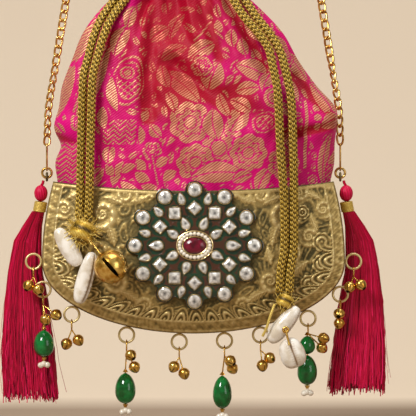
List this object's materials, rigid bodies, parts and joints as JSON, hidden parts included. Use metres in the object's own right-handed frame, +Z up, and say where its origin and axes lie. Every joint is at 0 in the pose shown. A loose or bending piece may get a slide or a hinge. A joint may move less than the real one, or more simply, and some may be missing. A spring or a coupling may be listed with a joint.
{
  "type": "potli bag",
  "caption": "Gathered brocade drawstring pouch on a domed embossed brass base with a stone-set brooch, a chain handle, tassels, bells, drop beads and shell pendants.",
  "frame": {"origin": "middle of the top of the chain handle, from which the bag hangs", "axes": "+Z up, +X to the right of the front view, front face towards -Y"},
  "size_m": [0.2407, 0.0818, 0.3498],
  "materials": {
    "antique_brass": "satin",
    "gold": "polished",
    "brocade": "satin",
    "silk": "satin",
    "gold_thread": "satin",
    "emerald_glass": "gloss",
    "pearl": "gloss",
    "shell": "gloss",
    "kundan": "gloss",
    "ruby": "gloss"
  },
  "bodies": {
    "handle": {"handle_chain": "gold", "lug_ring_left": "gold", "lug_ring_right": "gold"},
    "bag": {"front_plate": "antique_brass", "back_plate": "antique_brass", "edge_band": "antique_brass", "pouch": "brocade", "brooch_plate": "kundan", "brooch_pearl_halo": "pearl", "brooch_ruby": "ruby", "edge_ring_A": "antique_brass", "edge_ring_B": "antique_brass", "edge_ring_C": "antique_brass", "edge_ring_D": "antique_brass", "edge_ring_E": "antique_brass", "edge_ring_F": "antique_brass", "edge_ring_G": "antique_brass", "edge_ring_H": "antique_brass", "edge_ring_I": "antique_brass", "edge_ring_J": "antique_brass", "drawcord_left_outer": "gold_thread", "drawcord_left_inner": "gold_thread", "drawcord_right_inner": "gold_thread", "drawcord_right_outer": "gold_thread", "neck_drawcord": "gold_thread", "cord_knot_left": "gold_thread", "cord_knot_right": "gold_thread"},
    "dangle_A": {"bells_A": "gold"},
    "dangle_B": {"bells_B": "gold", "bead_B": "emerald_glass", "pearls_B": "pearl"},
    "dangle_C": {"bells_C": "gold"},
    "dangle_D": {"bells_D": "gold", "bead_D": "emerald_glass", "pearls_D": "pearl"},
    "dangle_E": {"bells_E": "gold"},
    "dangle_F": {"bells_F": "gold", "bead_F": "emerald_glass", "pearls_F": "pearl"},
    "dangle_G": {"bells_G": "gold"},
    "dangle_H": {"bells_H": "gold", "bead_H": "emerald_glass", "bead_H_upper": "emerald_glass", "pearls_H": "pearl"},
    "dangle_I": {"bells_I": "gold"},
    "dangle_J": {"bells_J": "gold"},
    "pendant_left": {"cowrie_left_outer": "shell", "cowrie_left_inner": "shell", "large_bell": "gold", "large_bell_pea": "gold"},
    "pendant_right": {"cowrie_right_upper": "shell", "cowrie_right_lower": "shell", "pendant_pin_right": "gold"},
    "tassel_left": {"tassel_left_head": "silk", "tassel_left_wrap": "gold_thread", "tassel_left_skirt": "silk"},
    "tassel_right": {"tassel_right_head": "silk", "tassel_right_wrap": "gold_thread", "tassel_right_skirt": "silk"}
  },
  "joints": [
    {"name": "bag_swing", "type": "hinge", "parent": "handle", "child": "bag", "pos_m": [0, 0, -0.1952], "axis": [1, 0, 0], "range_deg": [-90, 90]},
    {"name": "dangle_A_swing", "type": "hinge", "parent": "bag", "child": "dangle_A", "pos_m": [-0.1008, 0, -0.25275], "axis": [-1, 0, 0], "range_deg": [0, 60]},
    {"name": "dangle_B_swing", "type": "hinge", "parent": "bag", "child": "dangle_B", "pos_m": [-0.09483, 0, -0.27037], "axis": [-1, 0, 0], "range_deg": [0, 60]},
    {"name": "dangle_C_swing", "type": "hinge", "parent": "bag", "child": "dangle_C", "pos_m": [-0.07676, 0, -0.28608], "axis": [-1, 0, 0], "range_deg": [-45, 45]},
    {"name": "dangle_D_swing", "type": "hinge", "parent": "bag", "child": "dangle_D", "pos_m": [-0.04218, 0, -0.29902], "axis": [-1, 0, 0], "range_deg": [-45, 45]},
    {"name": "dangle_E_swing", "type": "hinge", "parent": "bag", "child": "dangle_E", "pos_m": [-0.00903, 0, -0.30335], "axis": [-1, 0, 0], "range_deg": [-45, 45]},
    {"name": "dangle_F_swing", "type": "hinge", "parent": "bag", "child": "dangle_F", "pos_m": [0.0195, 0, -0.30262], "axis": [-1, 0, 0], "range_deg": [-45, 45]},
    {"name": "dangle_G_swing", "type": "hinge", "parent": "bag", "child": "dangle_G", "pos_m": [0.04218, 0, -0.29902], "axis": [-1, 0, 0], "range_deg": [-45, 40]},
    {"name": "dangle_H_swing", "type": "hinge", "parent": "bag", "child": "dangle_H", "pos_m": [0.07211, 0, -0.28861], "axis": [-1, 0, 0], "range_deg": [-45, 40]},
    {"name": "dangle_I_swing", "type": "hinge", "parent": "bag", "child": "dangle_I", "pos_m": [0.09249, 0, -0.27337], "axis": [-1, 0, 0], "range_deg": [0, 60]},
    {"name": "dangle_J_swing", "type": "hinge", "parent": "bag", "child": "dangle_J", "pos_m": [0.1008, 0, -0.25275], "axis": [-1, 0, 0], "range_deg": [0, 60]},
    {"name": "pendant_left_swing", "type": "hinge", "parent": "bag", "child": "pendant_left", "pos_m": [-0.0687, -0.0308, -0.229], "axis": [-1, 0, 0], "range_deg": [0, 60]},
    {"name": "pendant_right_swing", "type": "hinge", "parent": "bag", "child": "pendant_right", "pos_m": [0.057, -0.0308, -0.2726], "axis": [-1, 0, 0], "range_deg": [0, 60]},
    {"name": "tassel_left_swing", "type": "hinge", "parent": "bag", "child": "tassel_left", "pos_m": [-0.0946, 0, -0.199], "axis": [0, 1, 0], "range_deg": [0, 45]},
    {"name": "tassel_right_swing", "type": "hinge", "parent": "bag", "child": "tassel_right", "pos_m": [0.0946, 0, -0.199], "axis": [0, -1, 0], "range_deg": [0, 45]}
  ]
}
